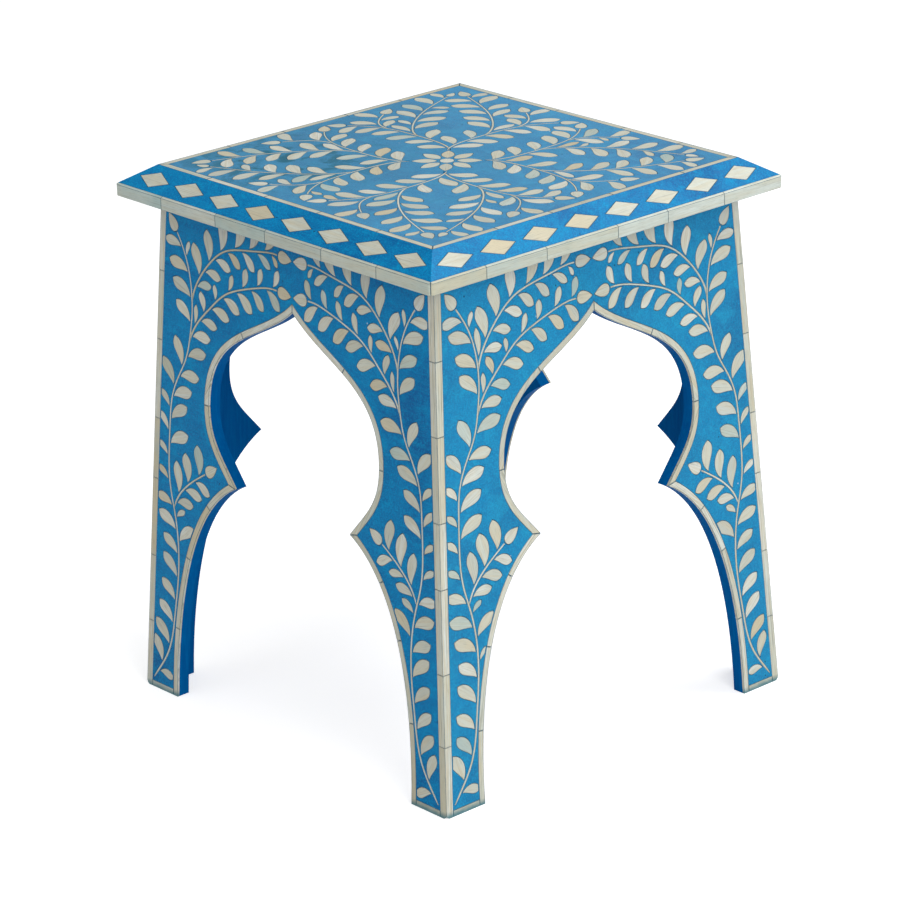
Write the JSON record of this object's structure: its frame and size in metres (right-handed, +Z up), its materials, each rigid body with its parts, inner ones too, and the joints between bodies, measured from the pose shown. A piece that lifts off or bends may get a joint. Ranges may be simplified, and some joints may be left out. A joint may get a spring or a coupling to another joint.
{
  "type": "stool",
  "caption": "Low square stool or side table with leaning arched panels, bone vines set in blue resin, and a bevelled top.",
  "frame": {"origin": "on the floor under the middle of the top", "axes": "+Z is up and is the axis of the square; -Y is the front panel"},
  "size_m": [0.381, 0.381, 0.457],
  "materials": {
    "painted_wood": "dark blue paint over a wooden board, satin, with faint brush marks",
    "blue_resin": "polished blue resin, cloudy, with fine dark and pale specks",
    "bone": "polished bone, cream to grey, with fine grain along each piece and a hairline dark edge",
    "raw_wood": "plain planed softwood",
    "steel": "zinc plated wood screws"
  },
  "bodies": {
    "root": {"top_board": "painted_wood", "top_resin": "blue_resin", "bevel_resin": "blue_resin", "edge_strips": "bone", "top_strips": "bone", "bevel_diamonds": "bone", "top_flower": "bone", "top_stems": "bone", "top_buds": "bone", "top_leaves": "bone", "front_panel": "painted_wood", "front_resin": "blue_resin", "front_side_strips": "bone", "front_arch_strips": "bone", "front_foot_strips": "bone", "front_leaves": "bone", "front_buds": "bone", "front_stems": "bone", "right_panel": "painted_wood", "right_resin": "blue_resin", "right_side_strips": "bone", "right_arch_strips": "bone", "right_foot_strips": "bone", "right_leaves": "bone", "right_buds": "bone", "right_stems": "bone", "back_panel": "painted_wood", "back_resin": "blue_resin", "back_side_strips": "bone", "back_arch_strips": "bone", "back_foot_strips": "bone", "back_leaves": "bone", "back_buds": "bone", "back_stems": "bone", "left_panel": "painted_wood", "left_resin": "blue_resin", "left_side_strips": "bone", "left_arch_strips": "bone", "left_foot_strips": "bone", "left_leaves": "bone", "left_buds": "bone", "left_stems": "bone", "front_corner_block": "raw_wood", "front_cleat": "raw_wood", "right_corner_block": "raw_wood", "right_cleat": "raw_wood", "back_corner_block": "raw_wood", "back_cleat": "raw_wood", "left_corner_block": "raw_wood", "left_cleat": "raw_wood", "cleat_screws": "steel"}
  },
  "joints": []
}
